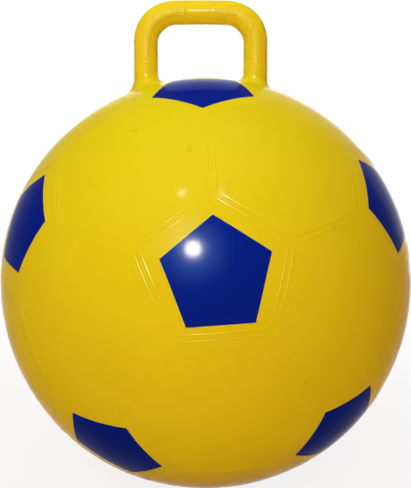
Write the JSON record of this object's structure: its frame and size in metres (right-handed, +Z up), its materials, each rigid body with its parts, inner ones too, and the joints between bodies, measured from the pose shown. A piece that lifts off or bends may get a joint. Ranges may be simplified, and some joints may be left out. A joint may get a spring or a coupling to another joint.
{
  "type": "hopper ball",
  "caption": "Inflatable hopper ball for children: a round moulded skin with a hand loop on its crown, printed football pentagons, raised seam lines and an air valve with a pull-out plug.",
  "frame": {"origin": "middle of the flat patch that the ball's weight presses on the floor", "axes": "+Z up through the ball, +X along the hand loop's bar to the right of the picture, -Y towards the camera"},
  "size_m": [0.4501, 0.4506, 0.5309],
  "materials": {
    "skin_pvc": "glossy soft vinyl, moulded",
    "print_ink": "glossy printed ink",
    "plug_plastic": "satin moulded plastic"
  },
  "bodies": {
    "ball": {"ball_skin": "skin_pvc", "handle_loop": "skin_pvc", "valve_seat": "skin_pvc", "print_front": "print_ink", "print_top": "print_ink", "print_right": "print_ink", "print_lower_right": "print_ink", "print_lower_left": "print_ink", "print_left": "print_ink", "print_back": "print_ink", "print_bottom": "print_ink", "print_rear_right": "print_ink", "print_rear_upper_right": "print_ink", "print_rear_upper_left": "print_ink", "print_rear_left": "print_ink"},
    "plug": {"valve_plug": "plug_plastic"}
  },
  "joints": [
    {"name": "plug_pull", "type": "slide", "parent": "ball", "child": "plug", "axis": [-0.0882, 0.876, 0.4742], "range_m": [0, 0.03]}
  ]
}
